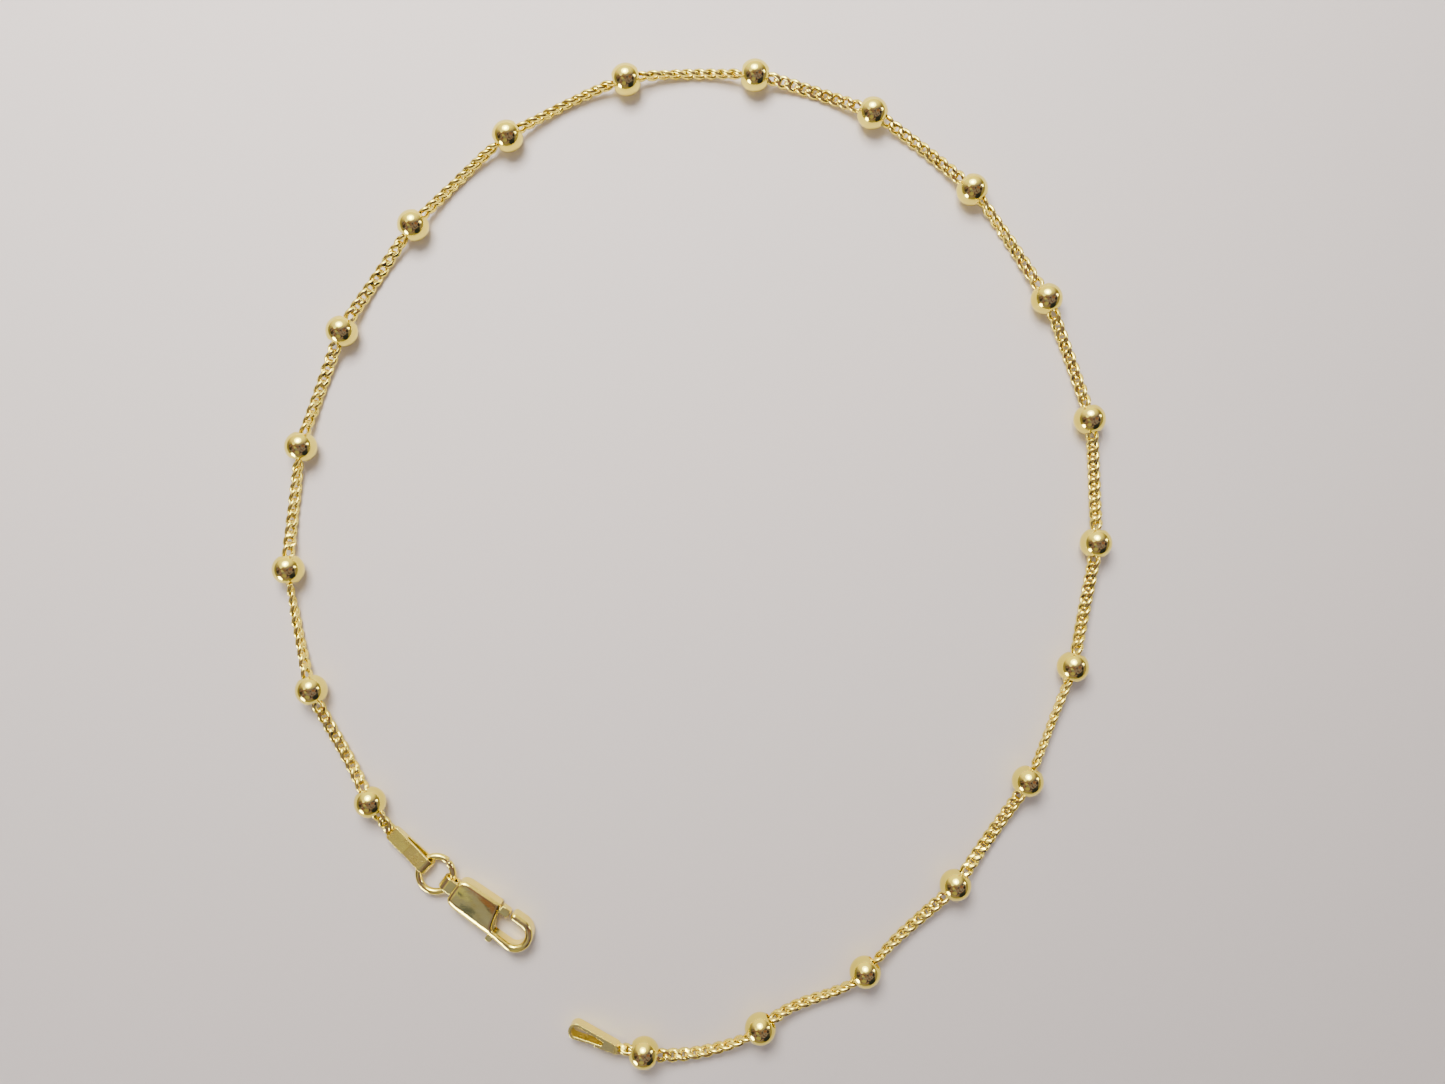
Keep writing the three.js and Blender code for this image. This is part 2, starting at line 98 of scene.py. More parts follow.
# %% Sockets that can be added and multiplied
class Value:
    """A socket of a node tree. A sum on it adds a Math node and gives that node's socket."""

    def __init__(self, tree, socket):
        self.tree = tree
        self.socket = socket

    def math(self, operation, *terms):
        return self.tree.node("ShaderNodeMath", {"operation": operation}, dict(enumerate(terms)))

    def __add__(self, other):
        return self.math("ADD", self, other)

    def __sub__(self, other):
        return self.math("SUBTRACT", self, other)

    def __mul__(self, other):
        return self.math("MULTIPLY", self, other)

    def __truediv__(self, other):
        return self.math("DIVIDE", self, other)

    def __lt__(self, other):
        return self.math("LESS_THAN", self, other)

    def __abs__(self):
        return self.math("ABSOLUTE", self)

    def cos(self):
        return self.math("COSINE", self)

    def sin(self):
        return self.math("SINE", self)

    def least(self, other):
        return self.math("MINIMUM", self, other)

    def most(self, other):
        return self.math("MAXIMUM", self, other)

    def between(self, low, high):
        """0 below low, 1 above high and smooth in between."""
        settings = {"interpolation_type": "SMOOTHSTEP", "clamp": True}
        return self.tree.node("ShaderNodeMapRange", settings, {"Value": self, 1: low, 2: high})

    def dot(self, direction):
        """The scalar product of a vector socket with a fixed direction."""
        terms = {0: self, 1: tuple(direction)}
        return self.tree.node("ShaderNodeVectorMath", {"operation": "DOT_PRODUCT"}, terms, "Value")


print("made: Value")


# %% Node trees
class Tree:
    """A node tree, of a material or of a Geometry Nodes modifier."""

    def __init__(self, nodes):
        self.tree = nodes
        self.tree.nodes.clear()

    def node(self, kind, settings=None, inputs=None, output=0):
        """Adds one node and gives one of its output sockets."""
        made = self.tree.nodes.new(kind)
        for name, value in (settings or {}).items():
            setattr(made, name, value)
        for key, value in (inputs or {}).items():
            self.feed(made.inputs[key], value)
        return Value(self, made.outputs[output]) if made.outputs else made

    def feed(self, socket, value):
        if isinstance(value, Value):
            self.tree.links.new(value.socket, socket)
        elif socket.type == "RGBA" and len(value) == 3:
            socket.default_value = (*value, 1)
        else:
            socket.default_value = value

    def blend(self, share, first, second):
        """A colour between two colours. The Mix node's inputs 6 and 7 and output 2 are colours."""
        return self.node("ShaderNodeMix", {"data_type": "RGBA"}, {0: share, 6: first, 7: second}, 2)

    def noise(self, place, scale, detail, output=0):
        """A noise: a number, or with output="Color" a colour."""
        inputs = {"Vector": place, "Scale": scale, "Detail": detail}
        return self.node("ShaderNodeTexNoise", None, inputs, output)

    def vector(self, x, y, z):
        return self.node("ShaderNodeCombineXYZ", None, {"X": x, "Y": y, "Z": z})

    def parts(self, vector):
        """The x, y and z of a vector."""
        x = self.node("ShaderNodeSeparateXYZ", None, {0: vector})
        return [Value(self, output) for output in x.socket.node.outputs]


def new_material(name):
    material = bpy.data.materials.new(name)
    material.use_nodes = True
    return material, Tree(material.node_tree)


def show(tree, shader):
    """Makes a shader the surface of its material."""
    tree.node("ShaderNodeOutputMaterial", None, {"Surface": shader})


print("made: Tree, new_material and show")

# %% [markdown]
# Polished gold has almost no colour of its own in one place: it shows what it reflects,
# tinted. One flat colour with some gloss would look like plastic. What makes it look real at
# this size is small: a ripple left by the polishing wheel, hairline scratches, and a slight
# change of tint and gloss. A painted map could hold these, but it would need unwrapping on
# forty-six pieces. Noises on Object coordinates need none. Those coordinates are metres, so
# the noises' scales are large numbers.

# %% Polished gold
RIPPLE_SCALE = 700
GRAIN_SCALE = 9000
SCRATCH_SCALES = (1500, 26000, 9000)
SCRATCH_TURN = (0, 0, 0.6)
SCRATCHED = (0.60, 0.72)
WORN = (0.40, 0.70)
WORN_GLOSS = 0.5
SCRATCH_GLOSS = 0.06
GRAIN_GLOSS = 0.04
BUMP_DEPTH = 1e-5


def polished_gold(name, tint, deep, roughness, ripple, scratches):
    """Gold between a tint and a deeper one, with ripples and scratches of some strength."""
    material, tree = new_material(name)
    place = tree.node("ShaderNodeTexCoord", output="Object")
    broad = tree.noise(place, RIPPLE_SCALE, 3)
    grain = tree.noise(place, GRAIN_SCALE, 4)
    combed = {"Vector": place, "Rotation": SCRATCH_TURN, "Scale": SCRATCH_SCALES}
    hairline = tree.noise(tree.node("ShaderNodeMapping", None, combed), 1, 2)
    scratch = hairline.between(*SCRATCHED)
    worn = broad.between(*WORN)
    gloss = worn * (WORN_GLOSS * roughness) + scratch * SCRATCH_GLOSS + grain * GRAIN_GLOSS
    height = broad * ripple + scratch * scratches
    relief = {"Strength": 1, "Distance": BUMP_DEPTH, "Height": height}
    inputs = {
        "Base Color": tree.blend(worn, tint, deep),
        "Metallic": 1,
        "Roughness": gloss + roughness,
        "Normal": tree.node("ShaderNodeBump", None, relief),
    }
    show(tree, tree.node("ShaderNodeBsdfPrincipled", None, inputs))
    return material


GOLDS = {
    "bead_gold": ((0.94, 0.805, 0.13), (0.92, 0.76, 0.10), 0.02, 0.6, 0.08),
    "chain_gold": ((0.98, 0.82, 0.135), (0.95, 0.76, 0.09), 0.07, 0.8, 0.08),
    "tag_gold": ((0.97, 0.83, 0.15), (0.95, 0.78, 0.115), 0.18, 1.0, 0.12),
    "clasp_gold": ((0.97, 0.83, 0.14), (0.95, 0.78, 0.11), 0.04, 0.5, 0.08),
}
SLOTS = {name: polished_gold(name, *look) for name, look in GOLDS.items()}
print("materials:", ", ".join(SLOTS))


# %% [markdown]
# The anklet lies on a plain pale floor: one square just under the metal, so large that its
# edge lies far away.

# %% Floor
FLOOR_HALF = 1.5
FLOOR_HEIGHT = -0.02 * MM
FLOOR_COLOUR = (0.76, 0.66, 0.60)
FLOOR_ROUGHNESS = 0.6


def pale_floor():
    material, tree = new_material("pale_floor")
    inputs = {"Base Color": FLOOR_COLOUR, "Roughness": FLOOR_ROUGHNESS}
    show(tree, tree.node("ShaderNodeBsdfPrincipled", None, inputs))
    return material


square = [(-FLOOR_HALF, -FLOOR_HALF), (FLOOR_HALF, -FLOOR_HALF)]
square += [(FLOOR_HALF, FLOOR_HALF), (-FLOOR_HALF, FLOOR_HALF)]
floor_mesh = bpy.data.meshes.new("floor")
floor_mesh.from_pydata([(x, y, FLOOR_HEIGHT) for x, y in square], [], [(0, 1, 2, 3)])
floor_mesh.materials.append(pale_floor())
floor = bpy.data.objects.new("floor", floor_mesh)
bpy.context.scene.collection.objects.link(floor)
print("floor:", 2 * FLOOR_HALF, "m square")

# %% [markdown]
# One broad light stands up and to the left, so that the floor darkens a little towards the
# lower right and the shadows fall that way. A pale world fills the shadows. A sun lamp
# would be simpler, but it lights the whole floor evenly.

# %% Lights
KEY_PLACE = Vector((-0.04, 0.14, 0.19))
KEY_TARGET = Vector((-0.04, 0.12, 0))
KEY_SIZE = 0.12
KEY_POWER = 1.15
WORLD_COLOUR = (0.98, 0.98, 1.0, 1)
WORLD_STRENGTH = 0.38

lamp = bpy.data.lights.new("key", "AREA")
lamp.size = KEY_SIZE
lamp.energy = KEY_POWER
key = bpy.data.objects.new("key", lamp)
key.location = KEY_PLACE
key.rotation_euler = (KEY_TARGET - KEY_PLACE).to_track_quat("-Z", "Y").to_euler()
key.visible_glossy = False
bpy.context.scene.collection.objects.link(key)
world = bpy.data.worlds.new("world")
world.use_nodes = True
background = world.node_tree.nodes["Background"]
background.inputs["Color"].default_value = WORLD_COLOUR
background.inputs["Strength"].default_value = WORLD_STRENGTH
bpy.context.scene.world = world
print("key light:", KEY_POWER, "W, world:", WORLD_STRENGTH)

# %% [markdown]
# Polished metal looks like the room that it reflects. Lamps placed for their reflections
# would light the floor as well. A large dome that only reflections see does not. It holds
# a bright window with a hot core, small lamps low down, pale and dark things between them,
# and a ceiling with dim and warm clutter. Each thing is a soft round patch in one
# direction, and a noise moves the directions a little, so that no edge is a true circle.

# %% Directions in the dome
def towards(azimuth, elevation):
    """The direction at an angle from +X towards +Y and an angle above the floor, in degrees."""
    turn, rise = math.radians(azimuth), math.radians(elevation)
    level = math.cos(rise)
    return Vector((level * math.cos(turn), level * math.sin(turn), math.sin(rise)))


def glow(direction, axis, inner, outer):
    """1 within an angle of an axis, 0 past a larger one, in degrees."""
    low, high = (math.cos(math.radians(angle)) for angle in (outer, inner))
    return direction.dot(axis).between(low, high)


print("straight up:", [round(n, 2) for n in towards(0, 90)])


# %% What the dome shows
# Azimuth, elevation, full within, gone past, all in degrees, and the colour.
PATCHES = [
    (100, 25, 18, 62, (1.7, 1.5, 1.15)),
    (97, 49, 18, 23, (7.5, 7.8, 8.5)),
    (98, 51, 6, 10, (40, 40, 44)),
    (150, 54, 7, 13, (1.7, 1.6, 1.8)),
    (308, 18, 17, 22, (0.025, 0.03, 0.09)),
    (330, 25, 8, 12, (0.05, 0.05, 0.14)),
    (352, 34, 8, 11, (0.025, 0.025, 0.07)),
    (196, 29, 8, 12, (0.05, 0.045, 0.07)),
    (255, 42, 9, 17, (0.47, 0.44, 0.46)),
    (236, 66, 8, 13, (0.33, 0.33, 0.84)),
    (222, 69, 2.5, 5, (0.52, 0.54, 0.75)),
    (203, 65, 5, 9, (0.62, 0.58, 0.55)),
    (241, 72, 1, 4, (0.12, 0.14, 0.42)),
    (240, 68, 1, 4, (0.12, 0.14, 0.42)),
    (239, 62, 1, 4, (0.12, 0.14, 0.42)),
    (222, 78.5, 3, 4.5, (0.28, 0.14, 0.24)),
    (239, 78.5, 3, 4.5, (0.28, 0.14, 0.24)),
    (257, 78.5, 3, 4.5, (0.28, 0.14, 0.24)),
    (2, 57, 6, 11, (0.28, 0.13, 0.20)),
    (172, 71, 4, 9, (0.32, 0.17, 0.26)),
    (229, 9, 9, 13, (24, 24, 28)),
    (17, 22, 3, 6, (14, 14, 15)),
]
WALLS = (0.36, 0.31, 0.28)
CEILING = (0.28, 0.245, 0.84)
DIM_CLUTTER = (0.035, 0.035, 0.12)
WARM_CLUTTER = (0.34, 0.13, 0.20)
print("patches in the dome:", len(PATCHES))

# %% The dome's material
WARP = 0.05
WARP_SCALE = 11
DIM_SCALE = 6
DIM_EDGE = (0.50, 0.57)
WARM_SCALE = 8
WARM_EDGE = (0.55, 0.62)
CEILING_EDGE = (0.05, 0.55)


def room_material():
    material, tree = new_material("room")
    vector_math = "ShaderNodeVectorMath"
    place = tree.node("ShaderNodeTexCoord", output="Object")
    straight = tree.node(vector_math, {"operation": "NORMALIZE"}, {0: place})
    wander = tree.noise(straight, WARP_SCALE, 2, output="Color")
    shifted = {0: wander, 1: (WARP, WARP, WARP), 2: straight}
    direction = tree.node(vector_math, {"operation": "MULTIPLY_ADD"}, shifted)
    centred = {0: direction, 1: (WARP / 2, WARP / 2, WARP / 2)}
    direction = tree.node(vector_math, {"operation": "SUBTRACT"}, centred)
    dim = tree.noise(straight, DIM_SCALE, 2).between(*DIM_EDGE)
    warm = tree.noise(straight, WARM_SCALE, 1).between(*WARM_EDGE)
    ceiling = tree.blend(warm, tree.blend(dim, CEILING, DIM_CLUTTER), WARM_CLUTTER)
    colour = tree.blend(straight.dot((0, 0, 1)).between(*CEILING_EDGE), WALLS, ceiling)
    for azimuth, elevation, inner, outer, tone in PATCHES:
        share = glow(direction, towards(azimuth, elevation), inner, outer)
        colour = tree.blend(share, colour, tone)
    show(tree, tree.node("ShaderNodeEmission", None, {"Color": colour, "Strength": 1}))
    return material


print("directions moved by up to:", WARP / 2)

# %% The dome
DOME_RADIUS = 2.5

dome_mesh = bpy.data.meshes.new("room")
dome_shape = bmesh.new()
bmesh.ops.create_icosphere(dome_shape, subdivisions=4, radius=DOME_RADIUS)
dome_shape.to_mesh(dome_mesh)
dome_shape.free()
dome_mesh.materials.append(room_material())
dome = bpy.data.objects.new("room", dome_mesh)
for sight in ("camera", "diffuse", "transmission", "volume_scatter", "shadow"):
    setattr(dome, f"visible_{sight}", False)
bpy.context.scene.collection.objects.link(dome)
print("dome:", DOME_RADIUS, "m radius, seen by reflections only")


# %% [markdown]
# Every finished piece goes the same way into the scene: its mesh is made in millimetres,
# where its place is already right, then shrunk to metres. It rides on the solid's body,
# hides the solid and takes the solid's material slot.

# %% Put a finished piece in the scene
def mesh_of(shape):
    """A mesh from bmesh geometry, which is freed."""
    mesh = bpy.data.meshes.new("shape")
    shape.to_mesh(mesh)
    shape.free()
    return mesh


def smooth(mesh, angle=35):
    mesh.polygons.foreach_set("use_smooth", [True] * len(mesh.polygons))
    mesh.set_sharp_from_angle(angle=math.radians(angle))


def evaluated(holder):
    """The plain mesh that an object's modifiers make."""
    graph = bpy.context.evaluated_depsgraph_get()
    final = holder.evaluated_get(graph)
    return bpy.data.meshes.new_from_object(final, preserve_all_data_layers=True, depsgraph=graph)


def level_flats(mesh):
    """Flat faces keep their own straight normals, and the roundings between them bend."""
    holder = bpy.data.objects.new("holder", mesh)
    bpy.context.scene.collection.objects.link(holder)
    weighted = holder.modifiers.new("weighted", "WEIGHTED_NORMAL")
    weighted.keep_sharp = True
    result = evaluated(holder)
    bpy.data.objects.remove(holder)
    return result


def add_piece(name, mesh, node, body, slot):
    mesh.transform(Matrix.Scale(MM, 4))
    mesh.name = name
    mesh.materials.clear()
    mesh.materials.append(SLOTS[slot])
    piece = bpy.data.objects.new(name, mesh)
    bpy.context.scene.collection.objects.link(piece)
    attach(piece, body)
    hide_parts(node)


print("made: add_piece and its helpers")

# %% [markdown]
# The beads are balls with a straight hole, 3 mm across. A sphere with a hole cut by a
# boolean would do, but its poles and the cut leave uneven faces that polished metal shows.
# A ball with a hole is also a turned shape: a profile spun round the hole's line. The
# profile is the arc of the ball, a small rounded lip and the wall of the hole.
# Where each bead sits is read from the solids. Its hole points along its two neighbours'
# line, because that is how a taut chain turns a bead, and near the free end the slack chain
# has turned three of them a little.

# %% Where the beads sit
BEADS = 20
BEAD_SPACING = 12
BEAD_RADIUS = 1.5
TURNED = {18: 8, 19: 16, 20: -20}
CLASP_END_HEADING = -58
FREE_END_HEADING = 181


def heading(angle):
    return Vector((math.cos(math.radians(angle)), math.sin(math.radians(angle)), 0))


def middle(node):
    low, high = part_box(node)
    return (low + high) / 2 / MM


def hole_line(n):
    """The direction of a bead's hole, towards the free end."""
    line = (centres[n + 1] - centres[n - 1]).normalized()
    return Matrix.Rotation(math.radians(TURNED.get(n, 0)), 3, "Z") @ line


centres = {n: middle(f"bead_{n:02d}") for n in range(1, BEADS + 1)}
centres[0] = centres[1] + heading(CLASP_END_HEADING) * BEAD_SPACING
centres[BEADS + 1] = centres[BEADS] + heading(FREE_END_HEADING) * BEAD_SPACING
lines = {n: hole_line(n) for n in range(1, BEADS + 1)}
print("bead spacing in mm:", round((centres[2] - centres[1]).length, 2))

# %% Turn a bead on its hole
HOLE_RADIUS = 0.74
LIP = 0.07
BEAD_ROWS = 26
BEAD_SIDES = 48


def bead_profile():
    """Points (distance along the hole, distance from it) round the bead's wall."""
    mouth = math.asin((HOLE_RADIUS + LIP) / BEAD_RADIUS)
    angles = np.linspace(mouth, math.pi - mouth, BEAD_ROWS)
    ball = [(BEAD_RADIUS * math.cos(a), BEAD_RADIUS * math.sin(a)) for a in angles]
    lip = BEAD_RADIUS * math.cos(mouth) - LIP
    inside = [(-lip - 0.3 * LIP, HOLE_RADIUS + 0.2 * LIP), (-lip + LIP, HOLE_RADIUS)]
    return ball + inside + [(-x, y) for x, y in reversed(inside)]


def turned(profile, sides):
    """A closed profile spun round the x axis."""
    shape = bmesh.new()
    angles = [2 * math.pi * k / sides for k in range(sides)]
    rings = []
    for x, radius in profile:
        spots = [(x, radius * math.cos(a), radius * math.sin(a)) for a in angles]
        rings.append([shape.verts.new(spot) for spot in spots])
    for ring, following in zip(rings, rings[1:] + rings[:1]):
        for k in range(sides):
            nearby = (k + 1) % sides
            shape.faces.new((ring[k], following[k], following[nearby], ring[nearby]))
    bmesh.ops.recalc_face_normals(shape, faces=shape.faces)
    return mesh_of(shape)


def place_along(origin, along, roll=0):
    """The frame with x along a direction and y level, rolled about x by some degrees."""
    x = Vector(along).normalized()
    y = Vector((0, 0, 1)).cross(x).normalized()
    z = x.cross(y)
    turn = Matrix((x, y, z)).transposed().to_4x4()
    return Matrix.Translation(origin) @ turn @ Matrix.Rotation(math.radians(roll), 4, "X")


for n in range(1, BEADS + 1):
    bead = turned(bead_profile(), BEAD_SIDES)
    bead.transform(place_along(centres[n], lines[n]))
    smooth(bead, angle=50)
    add_piece(f"ball_bead_{n:02d}", bead, f"bead_{n:02d}", "anklet", "bead_gold")
print("beads:", BEADS, "with", BEAD_SIDES, "sides")


# %% [markdown]
# The chain between two beads is nine or ten curb links: ovals of round wire, each twisted
# so that all of them lie the same way up, and then cut flat above and below, which is where
# a curb chain sparkles. They could be modelled one by one, or an array could follow a
# curve. One link follows a rule, and the rest follow a path, so Geometry Nodes make both.
# A unit circle is stretched to the oval, and its far ends are turned opposite ways about
# the chain's line, which is the twist. A round wire is swept round it and pressed between
# two planes, which leaves the cut faces. The chain's tree then sets one link at each point
# of a path.

# %% The link's tree
LINK_SIZES = ["Half length", "Half width", "Wire", "Twist", "Flat"]
LINK_STEPS = 16
WIRE_SIDES = 6
CUT_SLOPE = 0.995


def add_sockets(nodes, names):
    """Named float inputs of a tree, and one geometry output."""
    for name in names:
        nodes.interface.new_socket(name, in_out="INPUT", socket_type="NodeSocketFloat")
    nodes.interface.new_socket("Geometry", in_out="OUTPUT", socket_type="NodeSocketGeometry")


def circle(tree, resolution, radius):
    sizes = {"Resolution": resolution, "Radius": radius}
    return tree.node("GeometryNodeCurvePrimitiveCircle", None, sizes)


def moved(tree, geometry, x, y, z):
    places = {"Geometry": geometry, "Position": tree.vector(x, y, z)}
    return tree.node("GeometryNodeSetPosition", None, places)


def link_tree():
    nodes = bpy.data.node_groups.new("curb link", "GeometryNodeTree")
    add_sockets(nodes, LINK_SIZES)
    tree = Tree(nodes)
    given = nodes.nodes.new("NodeGroupInput").outputs
    half_length, half_width, wire, twist, flat = (Value(tree, given[name]) for name in LINK_SIZES)
    x, y, z = tree.parts(tree.node("GeometryNodeInputPosition"))
    turn = twist * x
    across = half_width * y
    ring = circle(tree, LINK_STEPS, 1)
    oval = moved(tree, ring, half_length * x, across * turn.cos(), across * turn.sin())
    sweep = {"Curve": oval, "Profile Curve": circle(tree, WIRE_SIDES, wire / 2)}
    swept = tree.node("GeometryNodeCurveToMesh", None, sweep)
    pressed = moved(tree, swept, x, y, z.least(flat).most(flat * -1))
    slope = tree.parts(tree.node("GeometryNodeInputNormal"))[2]
    finish = {"Geometry": pressed, "Shade Smooth": abs(slope) < CUT_SLOPE}
    tree.node("NodeGroupOutput", None, {0: tree.node("GeometryNodeSetShadeSmooth", None, finish)})
    return nodes


curb_link = link_tree()
print("link tree:", len(curb_link.nodes), "nodes")


# %% [markdown]
# On a real chain every link leans a little its own way, and a whole stretch can lie rolled
# over. So each link's turn is worked out at its own point: a roll that changes evenly from
# one end to the other, and a small random share with a fixed seed. Turning links by hand
# would give the same look, but not again at another length.

# %% The chain's tree
CHAIN_INPUTS = {"Path": "Geometry", "Links": "Int", "Material": "Material"}
CHAIN_SIZES = [*LINK_SIZES, "Roll at start", "Roll at end", "Loose turn", "Seed"]


def link_turn(tree, sizes):
    """Each link's turn: along the path, level, then rolled about the path.

    The random number's inputs 2 and 3 are its limits, and its output 1 is the plain number.
    """
    tangent = tree.node("GeometryNodeInputTangent")
    share = tree.node("GeometryNodeSplineParameter")
    index = tree.node("GeometryNodeInputIndex")
    draw = {2: -1.0, 3: 1.0, 7: index, 8: sizes["Seed"]}
    slack = tree.node("FunctionNodeRandomValue", {"data_type": "FLOAT"}, draw, 1)
    start = sizes["Roll at start"]
    roll = start + (sizes["Roll at end"] - start) * share + slack * sizes["Loose turn"]
    align = "FunctionNodeAlignRotationToVector"
    along = tree.node(align, {"axis": "X"}, {"Vector": tangent})
    upright = {0: along, "Vector": (0, 0, 1)}
    level = tree.node(align, {"axis": "Z", "pivot_axis": "X"}, upright)
    spin = tree.node("FunctionNodeAxisAngleToRotation", None, {"Axis": (1, 0, 0), "Angle": roll})
    return tree.node("FunctionNodeRotateRotation", {"rotation_space": "LOCAL"}, {0: level, 1: spin})


def chain_tree(link):
    nodes = bpy.data.node_groups.new("curb chain", "GeometryNodeTree")
    for name, kind in CHAIN_INPUTS.items():
        nodes.interface.new_socket(name, in_out="INPUT", socket_type=f"NodeSocket{kind}")
    add_sockets(nodes, CHAIN_SIZES)
    tree = Tree(nodes)
    given = nodes.nodes.new("NodeGroupInput").outputs
    path, count, material = (Value(tree, given[name]) for name in CHAIN_INPUTS)
    sizes = {name: Value(tree, given[name]) for name in CHAIN_SIZES}
    link_inputs = {k: sizes[name] for k, name in enumerate(LINK_SIZES)}
    one = tree.node("GeometryNodeGroup", {"node_tree": link}, link_inputs)
    curve = tree.node("GeometryNodeMeshToCurve", None, {0: path})
    spaced = tree.node("GeometryNodeResampleCurve", None, {"Curve": curve, "Count": count})
    placed = {"Points": spaced, "Instance": one, "Rotation": link_turn(tree, sizes)}
    links = tree.node("GeometryNodeInstanceOnPoints", None, placed)
    real = tree.node("GeometryNodeRealizeInstances", None, {0: links})
    coat = {"Geometry": real, "Material": material}
    tree.node("NodeGroupOutput", None, {0: tree.node("GeometryNodeSetMaterial", None, coat)})
    return nodes


curb_chain = chain_tree(curb_link)
print("chain tree:", len(curb_chain.nodes), "nodes, inputs:", ", ".join(CHAIN_SIZES))


# %% Run a tree
def run_tree(nodes, mesh, values):
    """The plain mesh that a tree makes from a mesh. Inputs are set by their identifiers."""
    holder = bpy.data.objects.new("holder", mesh)
    bpy.context.scene.collection.objects.link(holder)
    modifier = holder.modifiers.new("tree", "NODES")
    modifier.node_group = nodes
    for item in nodes.interface.items_tree:
        if item.in_out == "INPUT" and item.name in values:
            modifier[item.identifier] = values[item.name]
    result = evaluated(holder)
    holder.modifiers.remove(modifier)
    bpy.data.objects.remove(holder)
    return result


LINK_WIRE = 0.47
LINK_TWIST = math.radians(58)
LINK_FLAT = 0.33


def link_values(pitch, width):
    """Sizes of a link whose neighbours stand a pitch apart with their wires touching."""
    half_length, half_width = (pitch + LINK_WIRE) / 2, (width - LINK_WIRE) / 2
    return dict(zip(LINK_SIZES, (half_length, half_width, LINK_WIRE, LINK_TWIST, LINK_FLAT)))


print("wire of a link:", LINK_WIRE, "mm, cut faces", 2 * LINK_FLAT, "mm apart")


# %% [markdown]
# A stretch leaves each bead's hole straight and sags to the floor between them, because the
# beads are thicker than the chain. A simulated chain would find its own rest, but not the
# one in the picture. The line here is a Bezier curve seen from above and a parabola from
# the side, and it stops where the first and last link would reach a little way into a hole.
# How many links a stretch has, and how far it is rolled over at each end, are read off its
# picture: a rolled curb chain looks narrow, and a flat one shows its full width. A rolled
# chain also lies higher, on the corners of its cut faces.

# %% The stretches between the beads
LINKS = {n: 9 for n in range(2, BEADS + 1)} | {n: 10 for n in (7, 8, 14, 15, 16, 17)}
CHAIN_WIDTH = 1.3
CUT_REACH = 0.5
HOLE_MOUTH = 1.284
SEAT = 0.35
LINK_INSET = 0.86
LOOSE_TURN = math.radians(5)
LINE_POINTS = 121
PATH_POINTS = 41
ROLLS = {
    2: (34, 30), 3: (58, 100), 4: (45, 70), 5: (65, 28), 6: (28, 60), 7: (72, 80), 8: (80, 82),
    9: (84, 80), 10: (15, 18), 11: (50, 28), 12: (75, 25), 13: (28, 48), 14: (35, 38), 15: (30, 45),
    16: (86, 90), 17: (25, 25), 18: (22, 88), 19: (92, 62), 20: (88, 22),
}


def rest_height(roll):
    """How high the middle of a rolled chain lies: on a cut face's corner, or on a round edge."""
    up, across = abs(math.cos(math.radians(roll))), math.sin(math.radians(roll))
    corner = LINK_FLAT * up + CUT_REACH * across
    return max(corner, math.hypot(CHAIN_WIDTH / 2 * across, LINK_FLAT * up))


def stretch_points(n):
    """Points along the middle of the stretch that ends at bead n."""
    start = centres[n - 1] + lines[n - 1] * (HOLE_MOUTH - SEAT)
    end = centres[n] - lines[n] * (HOLE_MOUTH - SEAT)
    handle = (end - start).length / 3
    ways = [start, start + lines[n - 1] * handle, end - lines[n] * handle, end]
    points = []
    for t in np.linspace(0, 1, LINE_POINTS).tolist():
        weights = ((1 - t) ** 3, 3 * t * (1 - t) ** 2, 3 * t**2 * (1 - t), t**3)
        point = sum((way * weight for way, weight in zip(ways, weights)), Vector())
        rest = rest_height(ROLLS[n][0] * (1 - t) + ROLLS[n][1] * t)
        point.z = rest + (BEAD_RADIUS - rest) * (2 * t - 1) ** 2
        points.append(point)
    return points


print("lowest middle of stretch 2 in mm:", round(min(p.z for p in stretch_points(2)), 2))


# %% Set links along a stretch
def trimmed(points):
    """Evenly spaced points of the same line, without a length at each end, and its length."""
    spots = np.array(points)
    run = np.concatenate([[0], np.cumsum(np.linalg.norm(np.diff(spots, axis=0), axis=1))])
    wanted = np.linspace(LINK_INSET, run[-1] - LINK_INSET, PATH_POINTS)
    return np.stack([np.interp(wanted, run, spots[:, k]) for k in range(3)], axis=1), run[-1]


def path_mesh(points):
    mesh = bpy.data.meshes.new("path")
    mesh.from_pydata([tuple(p) for p in points], [(k, k + 1) for k in range(len(points) - 1)], [])
    return mesh


def add_stretch(n):
    points, length = trimmed(stretch_points(n))
    pitch = (length - 2 * LINK_INSET) / (LINKS[n] - 1)
    start, end = ROLLS[n]
    values = link_values(pitch, CHAIN_WIDTH) | {
        "Links": LINKS[n],
        "Material": SLOTS["chain_gold"],
        "Roll at start": math.radians(start),
        "Roll at end": math.radians(end),
        "Loose turn": LOOSE_TURN,
        "Seed": float(n),
    }
    mesh = run_tree(curb_chain, path_mesh(points), values)
    add_piece(f"curb_links_{n:02d}", mesh, f"chain_{n:02d}", "anklet", "chain_gold")
    return len(mesh.polygons)


faces = sum(add_stretch(n) for n in range(2, BEADS + 1))
print("stretches:", BEADS - 1, "links:", sum(LINKS.values()), "faces:", faces)


# %% [markdown]
# At each end of the chain one or two links reach from the last bead to a folded tag, whose
# own link is soldered in. The chain's tree could set them too, but it spaces links evenly, and
# here the spacing changes: soldered links touch, and a loose one keeps a gap. So they are
# the same twisted ovals, set one by one.

# %% Where the end links stand
SOLDERED_PITCH = 1.05
LOOSE_PITCH = 0.9
STAND_OUT = 0.3
TAG_WIDTH = 1.4
EYE_WALL = 0.28
EYE_RADIUS = 0.475
EYE_OUTER = EYE_RADIUS + EYE_WALL
FREE_TAG_LIFT = 0.35


